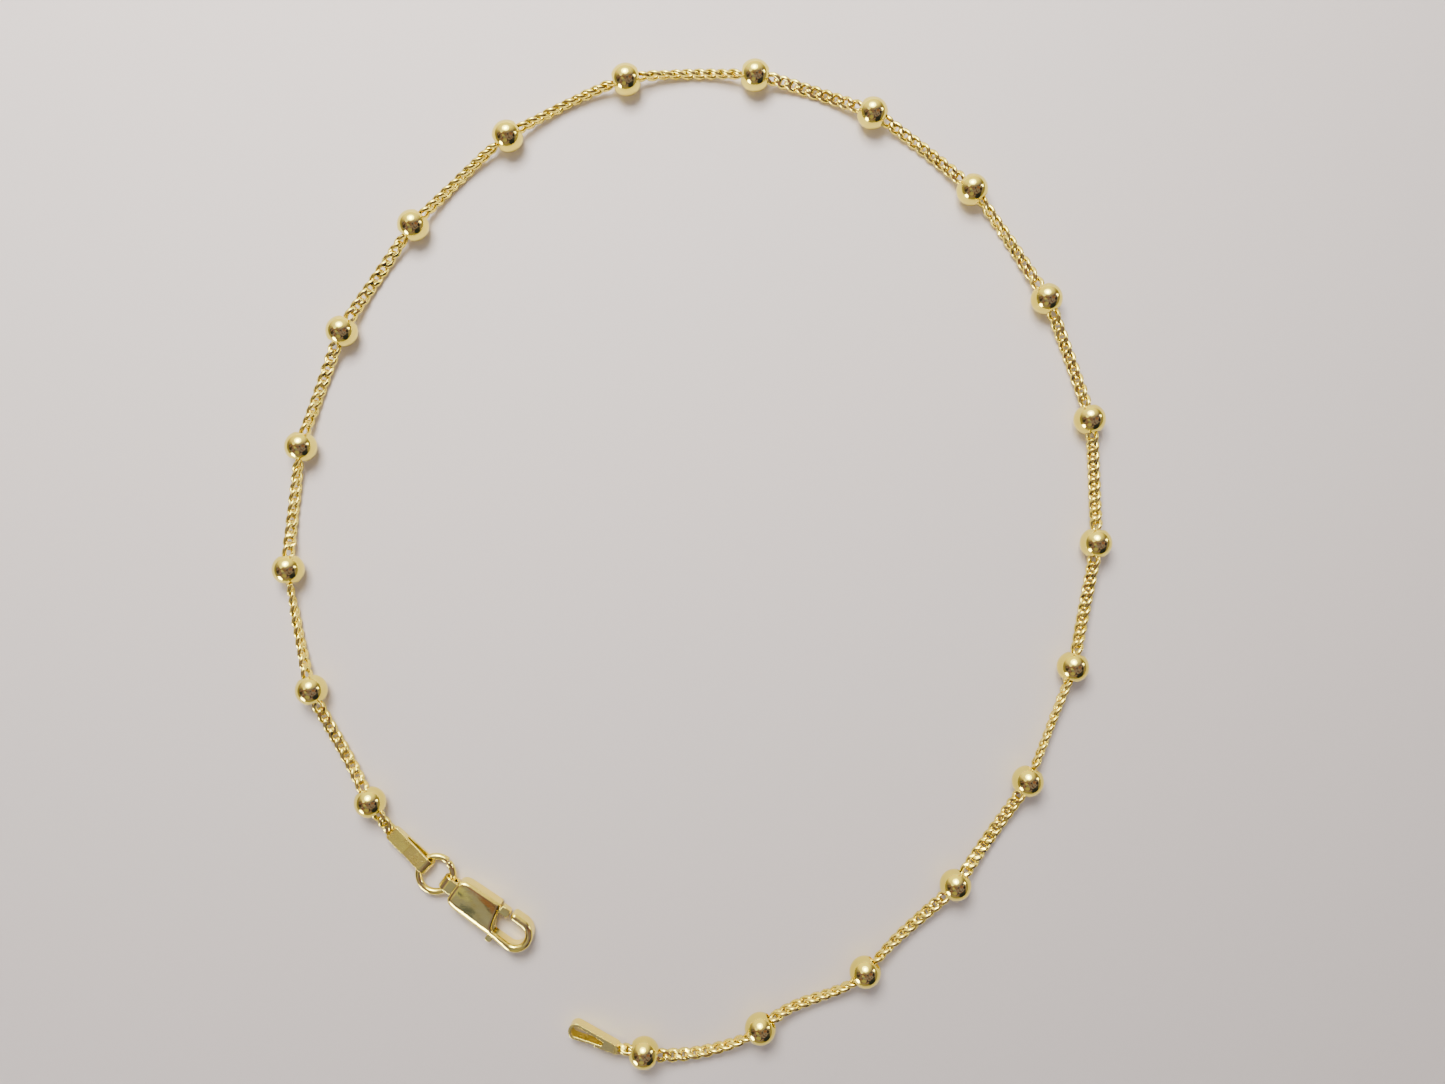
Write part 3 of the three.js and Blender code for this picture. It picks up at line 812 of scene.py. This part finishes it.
def end_run(bead, inner, angle, count, lying_height):
    """Where an end's links and its tag's own link stand, and the direction they run in."""
    start = centres[bead] + lines[bead] * inner * (STAND_OUT - HOLE_MOUTH)
    reach = 2 * STAND_OUT + (count - 1) * SOLDERED_PITCH + LOOSE_PITCH
    drop = (start.z - lying_height) / reach
    along = heading(angle) * math.sqrt(1 - drop**2) - Vector((0, 0, drop))
    steps = [2 * STAND_OUT + k * SOLDERED_PITCH for k in range(count)] + [reach]
    return [start + along * step for step in steps], along


free_height = TAG_WIDTH / 2 + FREE_TAG_LIFT
clasp_spots, clasp_along = end_run(1, 1, CLASP_END_HEADING, 2, EYE_OUTER)
free_spots, free_along = end_run(BEADS, -1, FREE_END_HEADING, 1, free_height)
print("end links:", len(clasp_spots) - 1, "and", len(free_spots) - 1)

# %% Set the end links
END_LINK_PITCH = 1.0
END_LINK_WIDTH = 1.24


def bare_link():
    values = link_values(END_LINK_PITCH, END_LINK_WIDTH)
    return run_tree(curb_link, bpy.data.meshes.new("link"), values)


def join(meshes):
    """Several meshes in one."""
    shape = bmesh.new()
    for mesh in meshes:
        shape.from_mesh(mesh)
    return mesh_of(shape)


def add_end_links(node, places, along):
    links = []
    for spot in places:
        link = bare_link()
        link.transform(place_along(spot, along))
        links.append(link)
    mesh = join(links)
    add_piece(f"end_links_{node[-2:]}", mesh, node, "anklet", "chain_gold")
    print(node, "faces:", len(mesh.polygons))


add_end_links("chain_01", clasp_spots[:-1], clasp_along)
add_end_links("chain_21", free_spots[:-1], free_along)


# %% [markdown]
# The tags, the clasp's body and its lever are all plates whose edges are rounded over. A
# Bevel modifier could round them, but it is uneven where an outline turns sharply. One
# helper serves them instead: it draws an outline with a pen, shrinks it step by step
# towards each face, which rounds the edge, and closes both faces. Holes are outlines that
# run the other way round, so the same shrinking opens them outwards.

# %% Draw an outline
SAME_POINT = 1e-4


class Pen:
    """Draws an outline in millimetres, anticlockwise round the metal."""

    def __init__(self, x, y):
        self.points = [(x, y)]

    def line(self, x, y):
        self.points.append((x, y))
        return self

    def arc(self, x, y, radius, start, end, step=6):
        count = max(2, round(abs(end - start) / step))
        for angle in np.radians(np.linspace(start, end, count + 1)):
            self.points.append((x + radius * math.cos(angle), y + radius * math.sin(angle)))
        return self

    def curve(self, *corners, count=12):
        """A Bezier curve from where the pen is."""
        spots = np.array([self.points[-1], *corners])
        for t in np.linspace(0, 1, count + 1)[1:]:
            level = spots
            while len(level) > 1:
                level = level[:-1] * (1 - t) + level[1:] * t
            self.points.append(tuple(level[0]))
        return self

    def closed(self):
        """The points once round, without any that repeat."""
        kept = []
        for point in self.points:
            if not kept or math.dist(point, kept[-1]) > SAME_POINT:
                kept.append(point)
        if math.dist(kept[0], kept[-1]) < SAME_POINT:
            kept.pop()
        return np.array(kept)


print("corners of a half circle:", len(Pen(1, 0).arc(0, 0, 1, 0, 180).closed()))


# %% Raise it to a plate with rounded edges
def inset(outline, distance):
    """The outline moved towards the metal, which lies on its left."""
    ahead = np.roll(outline, -1, axis=0) - outline
    ahead /= np.linalg.norm(ahead, axis=1, keepdims=True)
    left = np.stack([-ahead[:, 1], ahead[:, 0]], axis=1)
    before = np.roll(left, 1, axis=0)
    share = 1 + np.sum(left * before, axis=1, keepdims=True)
    return outline + distance * (left + before) / np.maximum(share, 0.3)


def edge_levels(low, high, fillet, steps):
    """Pairs (inset, height) from the lower face's edge to the upper face's."""
    angles = np.linspace(0, math.pi / 2, steps + 1)
    rise = [(fillet * (1 - math.sin(a)), fillet * (1 - math.cos(a))) for a in angles]
    return [(i, low + z) for i, z in rise] + [(i, high - z) for i, z in reversed(rise)]


def plate(outlines, low, high, fillet, steps=4):
    """A solid plate with every edge rounded over."""
    shape = bmesh.new()
    faces = {"low": [], "high": []}
    for outline in outlines:
        rings = []
        for distance, z in edge_levels(low, high, fillet, steps):
            rings.append([shape.verts.new((x, y, z)) for x, y in inset(outline, distance)])
        count = len(outline)
        for ring, above in zip(rings, rings[1:]):
            for k in range(count):
                j = (k + 1) % count
                shape.faces.new((ring[k], ring[j], above[j], above[k]))
        for side, ring in (("low", rings[0]), ("high", rings[-1])):
            faces[side] += [shape.edges.get((ring[k], ring[(k + 1) % count])) for k in range(count)]
    for edges in faces.values():
        bmesh.ops.triangle_fill(shape, use_beauty=True, edges=edges)
    bmesh.ops.recalc_face_normals(shape, faces=shape.faces)
    return mesh_of(shape)


print("rings of a plate:", len(edge_levels(0, 2, 0.3, steps=4)))

# %% [markdown]
# A tag is a strip of gold folded over and closed on itself. Bending a flat strip with
# modifiers would follow the real work, but the fold has to meet the solid's form exactly,
# so its side view is drawn and raised instead. From the side it is a long drop: a small
# closed end that holds a link, two straight flanks and a round eye. The strip's outer end
# laps over and stops at a small step.

# %% The folded tags' outlines
TAG_LENGTH = 5.2
TAG_FILLET = 0.05
CLOSED_RADIUS = 0.42
LAP_LENGTH = 2.3
LAP_STEP = 0.14
PINCH_RADIUS = 0.2
SLIT_START = 1.6
EYE_CENTRE = TAG_LENGTH - EYE_OUTER


def flank(x0, r0, x1, r1):
    """Where a straight flank touches two round ends, in degrees."""
    return 90 + math.degrees(math.asin((r1 - r0) / (x1 - x0)))


def strip_outline():
    side = flank(CLOSED_RADIUS, CLOSED_RADIUS, EYE_CENTRE, EYE_OUTER)
    share = (LAP_LENGTH - CLOSED_RADIUS) / (EYE_CENTRE - CLOSED_RADIUS)
    lap_height = CLOSED_RADIUS + share * (EYE_OUTER - CLOSED_RADIUS)
    pen = Pen(LAP_LENGTH, lap_height)
    pen.arc(CLOSED_RADIUS, 0, CLOSED_RADIUS, side, 360 - side)
    pen.arc(EYE_CENTRE, 0, EYE_OUTER, -side, side)
    return pen.line(LAP_LENGTH, lap_height - LAP_STEP).closed()


def slit_outline():
    """The long opening that ends in the eye."""
    pinch = SLIT_START + PINCH_RADIUS
    side = flank(pinch, PINCH_RADIUS, EYE_CENTRE, EYE_RADIUS)
    turn = math.radians(side)
    pen = Pen(EYE_CENTRE + EYE_RADIUS * math.cos(turn), -EYE_RADIUS * math.sin(turn))
    pen.arc(EYE_CENTRE, 0, EYE_RADIUS, -side, side)
    pen.arc(pinch, 0, PINCH_RADIUS, side, 360 - side, step=15)
    return pen.closed()[::-1]


print("strip corners:", len(strip_outline()), "slit corners:", len(slit_outline()))

# %% The folded tags
TAG_PAST_LINK = 0.02
CLASP_TAG_HEADING = -44
FREE_TAG_HEADING = 157


def add_tag(name, node, spot, link_along, angle, roll, lift):
    """A tag, rolled about its length, with its eye lower by lift, and its soldered link."""
    fall = lift / TAG_LENGTH
    along = heading(angle) * math.sqrt(1 - fall**2) - Vector((0, 0, fall))
    outlines = [strip_outline(), slit_outline()]
    strip = plate(outlines, -TAG_WIDTH / 2, TAG_WIDTH / 2, TAG_FILLET, steps=3)
    strip.transform(place_along(spot + along * TAG_PAST_LINK, along, roll))
    link = bare_link()
    link.transform(place_along(spot, link_along))
    mesh = join([strip, link])
    smooth(mesh)
    add_piece(name, level_flats(mesh), node, "anklet", "tag_gold")


add_tag(
    "folded_tag_clasp_end", "clasp_end_tag", clasp_spots[-1], clasp_along,
    CLASP_TAG_HEADING, roll=90, lift=0,
)
add_tag(
    "folded_tag_free_end", "free_end_tag", free_spots[-1], free_along,
    FREE_TAG_HEADING, roll=0, lift=FREE_TAG_LIFT,
)
print("tags: 2, each", TAG_LENGTH, "mm long")

# %% [markdown]
# The jump ring is one turn of round wire. A torus would be simpler, but it has no cut. The
# real ring was cut at the upper right, and its ends stand a little above and below each
# other, so the wire here follows one turn of a very flat helix.

# %% The jump ring's line
RING_WIRE = 0.65
RING_RADIUS = (4.0 - RING_WIRE) / 2
RING_CUT = 45
RING_GAP = 0.15
RING_OFFSET = 0.2
RING_STEPS = 96


def ring_points():
    """Points along the wire's middle, each with its angle round the ring."""
    gap = RING_GAP / RING_RADIUS
    points = []
    for t in np.linspace(0, 1, RING_STEPS):
        angle = math.radians(RING_CUT) + gap / 2 + t * (2 * math.pi - gap)
        across = (RING_RADIUS * math.cos(angle), RING_RADIUS * math.sin(angle))
        points.append((Vector((*across, RING_OFFSET * (t - 0.5))), angle))
    return points


print("jump ring:", 2 * RING_RADIUS + RING_WIRE, "mm across, cut", RING_GAP, "mm wide")

# %% Sweep the jump ring
RING_SIDES = 20
CUT_ROUNDING = 0.05


def swept_ring():
    """The wire's rings of points, with two more at each end that round the cut's edge."""
    shape = bmesh.new()
    rings = []
    route = ring_points()
    route = [route[0], *route, route[-1]]
    last = len(route) - 1
    drawn_back = {1: CUT_ROUNDING / RING_RADIUS, last - 1: -CUT_ROUNDING / RING_RADIUS}
    for k, (spot, angle) in enumerate(route):
        outward = Vector((math.cos(angle), math.sin(angle), 0))
        radius = RING_WIRE / 2 - (CUT_ROUNDING if k in (0, last) else 0)
        turn = Matrix.Rotation(drawn_back.get(k, 0), 3, "Z")
        ring = []
        for side in range(RING_SIDES):
            around = 2 * math.pi * side / RING_SIDES
            height = Vector((0, 0, radius * math.sin(around)))
            offset = outward * (radius * math.cos(around)) + height
            ring.append(shape.verts.new(turn @ (spot + offset)))
        rings.append(ring)
    for ring, following in zip(rings, rings[1:]):
        for side in range(RING_SIDES):
            j = (side + 1) % RING_SIDES
            shape.faces.new((ring[side], ring[j], following[j], following[side]))
    shape.faces.new(rings[0])
    shape.faces.new(reversed(rings[-1]))
    bmesh.ops.recalc_face_normals(shape, faces=shape.faces)
    return mesh_of(shape)


ring_centre = middle("jump_ring")
ring = swept_ring()
ring.transform(Matrix.Translation(ring_centre))
smooth(ring, angle=50)
add_piece("round_jump_ring", ring, "jump_ring", "anklet", "clasp_gold")
print("jump ring centre in mm:", [round(n, 2) for n in ring_centre])

# %% [markdown]
# The lobster clasp is a cast plate 2 mm thick with a hook at its far end and a lug behind
# its tail. A slot through its middle holds the lever: the gate that closes the hook's mouth
# and the nub that a thumb pulls. It could be sculpted, but its outline is exact and its
# roundings are even, so it is drawn and raised like the tags. Body and lug are joined and
# the slot cut with booleans, because on the real clasp they are one casting.

# %% Sizes of the clasp
CLASP_HEADING = -35.5
CLASP_FROM_RING = 2.27
CLASP_LENGTH = 9.0
CLASP_THICKNESS = 2.0
CLASP_FILLET = 0.34
HOOK_RADIUS = 1.7
HOOK_BAR = 0.74
HOOK_CENTRE = CLASP_LENGTH - HOOK_RADIUS
HOOK_INNER = HOOK_RADIUS - HOOK_BAR
HOOK_TIP = HOOK_CENTRE - 1.0
TAIL_HALF = 1.525
TAIL_FLAT = 0.65
TAIL_CORNER = 1.25
MOUTH_START = 4.5


def gate_side(x):
    """Half width of the body's gate side at a distance from the tail."""
    return TAIL_HALF + (HOOK_RADIUS - TAIL_HALF) * (x - TAIL_CORNER) / (HOOK_CENTRE - TAIL_CORNER)


clasp_along = heading(CLASP_HEADING)
clasp_tail = ring_centre + clasp_along * CLASP_FROM_RING
clasp_tail.z = 0
CLASP_PLACE = place_along(clasp_tail, clasp_along)
print("clasp's tail in mm:", [round(n, 2) for n in clasp_tail])


# %% The clasp body's outline
def body_outline():
    pen = Pen(0, -TAIL_FLAT).curve((0, -TAIL_HALF), (TAIL_CORNER, -TAIL_HALF))
    pen.line(HOOK_CENTRE, -HOOK_RADIUS).arc(HOOK_CENTRE, 0, HOOK_RADIUS, -90, 90)
    pen.arc(HOOK_TIP, HOOK_RADIUS - HOOK_BAR / 2, HOOK_BAR / 2, 90, 270, step=12)
    pen.arc(HOOK_CENTRE, 0, HOOK_INNER, 90, -90)
    throat = MOUTH_START + HOOK_BAR / 2
    lip = (MOUTH_START, gate_side(MOUTH_START))
    pen.line(throat + 0.7 * HOOK_INNER, -HOOK_INNER)
    pen.curve((throat, -HOOK_INNER), (throat, 0.3 * HOOK_INNER), lip, count=20)
    pen.line(TAIL_CORNER, TAIL_HALF).curve((0, TAIL_HALF), (0, TAIL_FLAT))
    return pen.closed()


print("corners of the body's outline:", len(body_outline()))

# %% [markdown]
# The plate's top is not flat on the real clasp. It is crowned, and towards the spine it
# falls away in a bevel, which catches the long white highlight. A bump in the material
# would not change the outline of that light, so the top is cut into small fields and
# lowered point by point.

# %% Crown the clasp's top
CROWN_ACROSS = 0.08
CROWN_HALF = 1.6
CROWN_ALONG = 0.07
CROWN_MIDDLE = 2.6
BEVEL_SLOPE = 0.56
BEVEL_WIDTH = 0.55
BEVEL_END = 8
BEVEL_FADE = 2.5
CUTS_ALONG = np.arange(0.5, 8.6, 0.5).tolist()
CUTS_ACROSS = (-0.8, -0.4, 0.0, 0.4, 0.8, 1.15, 1.35)
BEVEL_CUTS = 4


def cut_into_fields(shape):
    cuts = [((x, 0, 0), (1, 0, 0)) for x in CUTS_ALONG]
    cuts += [((0, y, 0), (0, 1, 0)) for y in CUTS_ACROSS]
    slant = (gate_side(1) - gate_side(0), 1, 0)
    spine = [BEVEL_WIDTH * k / BEVEL_CUTS - gate_side(0) for k in range(1, BEVEL_CUTS + 1)]
    cuts += [((0, y, 0), slant) for y in spine]
    for spot, direction in cuts:
        everything = shape.verts[:] + shape.edges[:] + shape.faces[:]
        bmesh.ops.bisect_plane(shape, geom=everything, plane_co=spot, plane_no=direction)


def lowering(x, y):
    """How far the clasp's top lies under its highest point."""
    fade = min(max((BEVEL_END - x) / BEVEL_FADE, 0), 1)
    depth = BEVEL_SLOPE * max(BEVEL_WIDTH - gate_side(x) - y, 0)
    bevel = fade * fade * (3 - 2 * fade) * depth
    along = min(((x - CROWN_MIDDLE) / CROWN_MIDDLE) ** 2, 1)
    return CROWN_ACROSS * (y / CROWN_HALF) ** 2 + CROWN_ALONG * along + bevel


def crowned(mesh):
    """The plate with its upper half lowered, most at the very top."""
    shape = bmesh.new()
    shape.from_mesh(mesh)
    cut_into_fields(shape)
    half = CLASP_THICKNESS / 2
    for vert in shape.verts:
        x, y, z = vert.co
        vert.co.z -= max(z - half, 0) / half * lowering(x, y)
    return mesh_of(shape)


edge = lowering(CROWN_MIDDLE, -gate_side(CROWN_MIDDLE))
print("top lowered at the spine's edge by mm:", round(edge, 2))

# %% [markdown]
# The lug is a strap with a hole for the ring, and the slot is a block taken out of the
# body. Both are plain shapes made where they belong, so that the booleans need no moving.

# %% The lug and the slot
LUG_FAR = -0.7263
LUG_NEAR = -0.595
LUG_ROOT = 0.56
LUG_HALF = 0.65
LUG_FILLET = 0.1
PIVOT = (3.9, 0.6)
NUB_MIDDLE = MOUTH_START + 0.95
SLOT_FLOOR = 0.4
SLOT_HEIGHT = 1.2
SLOT_START = PIVOT[0] - 0.6
SLOT_END = NUB_MIDDLE + 0.425
SLOT_LOW = -4
SLOT_WALL = 0.4


def lug_mesh():
    """The strap behind the tail, with a level hole for the ring."""
    strap = Pen(LUG_ROOT, -EYE_OUTER).line(LUG_ROOT, EYE_OUTER)
    strap.arc(LUG_FAR, 0, EYE_OUTER, 90, 270)
    hole = Pen(LUG_NEAR, -EYE_RADIUS).arc(LUG_NEAR, 0, EYE_RADIUS, -90, 90)
    hole.arc(LUG_FAR, 0, EYE_RADIUS, 90, 270)
    mesh = plate([strap.closed(), hole.closed()[::-1]], -LUG_HALF, LUG_HALF, LUG_FILLET)
    upright = Matrix.Rotation(math.pi / 2, 4, "X")
    mesh.transform(Matrix.Translation((0, 0, EYE_OUTER)) @ upright)
    return mesh


def slot_mesh():
    """The block that the lever's slot takes out of the body."""
    shape = bmesh.new()
    bmesh.ops.create_cube(shape, size=1)
    mesh = mesh_of(shape)
    high = gate_side(PIVOT[0]) - SLOT_WALL
    size = Matrix.Diagonal((SLOT_END - SLOT_START, high - SLOT_LOW, SLOT_HEIGHT, 1))
    centre = ((SLOT_START + SLOT_END) / 2, (SLOT_LOW + high) / 2, SLOT_FLOOR + SLOT_HEIGHT / 2)
    mesh.transform(Matrix.Translation(centre) @ size)
    return mesh


print("slot:", round(SLOT_END - SLOT_START, 3), "mm long,", SLOT_HEIGHT, "mm high")

# %% Join and cut the clasp's body
def combined(mesh, *steps):
    """A mesh joined to or cut by others. Each step is an operation and a mesh."""
    holder = bpy.data.objects.new("holder", mesh)
    bpy.context.scene.collection.objects.link(holder)
    tools = []
    for operation, other in steps:
        tool = bpy.data.objects.new("tool", other)
        bpy.context.scene.collection.objects.link(tool)
        tools.append(tool)
        modifier = holder.modifiers.new(operation, "BOOLEAN")
        modifier.operation = operation
        modifier.object = tool
        modifier.solver = "EXACT"
    result = evaluated(holder)
    for spare in (holder, *tools):
        bpy.data.objects.remove(spare)
    return result


plain = plate([body_outline()], 0, CLASP_THICKNESS, CLASP_FILLET, steps=6)
body = combined(crowned(plain), ("UNION", lug_mesh()), ("DIFFERENCE", slot_mesh()))
body.transform(CLASP_PLACE)
smooth(body, angle=40)
add_piece("lobster_clasp_body", level_flats(body), "clasp_body", "anklet", "clasp_gold")
print("clasp body faces:", len(body.polygons))

# %% [markdown]
# The lever is one casting too: a hub that turns on two short pegs, the gate and the nub.
# It is drawn flat and raised, and stays thinner than its slot. It rides on its own body,
# so that it can swing.

# %% The lever's outline
FIT_GAP = 0.1
HUB_RADIUS = 0.5
NUB_HALF = 0.325
NUB_ROUND = 0.22
NUB_REACH = 0.45
GATE_DEPTH = 0.8
GATE_CORNER = 0.2
TIP_GAP = 0.15


def lever_outline():
    gate_start = MOUTH_START + FIT_GAP + CLASP_FILLET / 2
    gate_end = HOOK_TIP - HOOK_BAR / 2 - TIP_GAP
    outer = gate_side(MOUTH_START) - FIT_GAP
    inner = outer - GATE_DEPTH
    root = NUB_ROUND - HOOK_RADIUS
    tip = -HOOK_RADIUS - NUB_REACH
    left, right = NUB_MIDDLE - NUB_HALF, NUB_MIDDLE + NUB_HALF
    x, y = PIVOT
    pen = Pen(x, y + HUB_RADIUS).arc(x, y, HUB_RADIUS, 90, 243, step=12)
    pen.line(left, root).line(left, tip + NUB_ROUND).curve((left, tip), (NUB_MIDDLE, tip))
    pen.curve((right, tip), (right, tip + NUB_ROUND)).line(right, root)
    pen.line(x + 1, y - HUB_RADIUS).line(gate_start, inner)
    pen.line(gate_end - GATE_CORNER, inner).line(gate_end, inner + GATE_CORNER)
    pen.line(gate_end, outer - GATE_CORNER).line(gate_end - GATE_CORNER, outer)
    pen.line(gate_start, outer).line(gate_start - FIT_GAP / 2, y + HUB_RADIUS)
    return pen.closed()


print("corners of the lever's outline:", len(lever_outline()))

# %% The clasp's lever
LEVER_THICKNESS = 1.0
LEVER_LOW = SLOT_FLOOR + FIT_GAP
LEVER_FILLET = 0.08
PEG_RADIUS = 0.25
PEG_SEAT = 0.14


def peg_mesh():
    """The two short pegs that the lever turns on, as one rod through its hub."""
    shape = bmesh.new()
    reach = LEVER_THICKNESS + 2 * (FIT_GAP + PEG_SEAT)
    round_ends = {"radius1": PEG_RADIUS, "radius2": PEG_RADIUS, "depth": reach}
    bmesh.ops.create_cone(shape, cap_ends=True, segments=24, **round_ends)
    mesh = mesh_of(shape)
    mesh.transform(Matrix.Translation((*PIVOT, CLASP_THICKNESS / 2)))
    return mesh


lever_top = LEVER_LOW + LEVER_THICKNESS
blade = plate([lever_outline()], LEVER_LOW, lever_top, LEVER_FILLET, steps=3)
lever = join([blade, peg_mesh()])
lever.transform(CLASP_PLACE)
smooth(lever, angle=40)
add_piece("clasp_gate_lever", level_flats(lever), "clasp_lever", "lever", "clasp_gold")
print("lever faces:", len(lever.polygons))
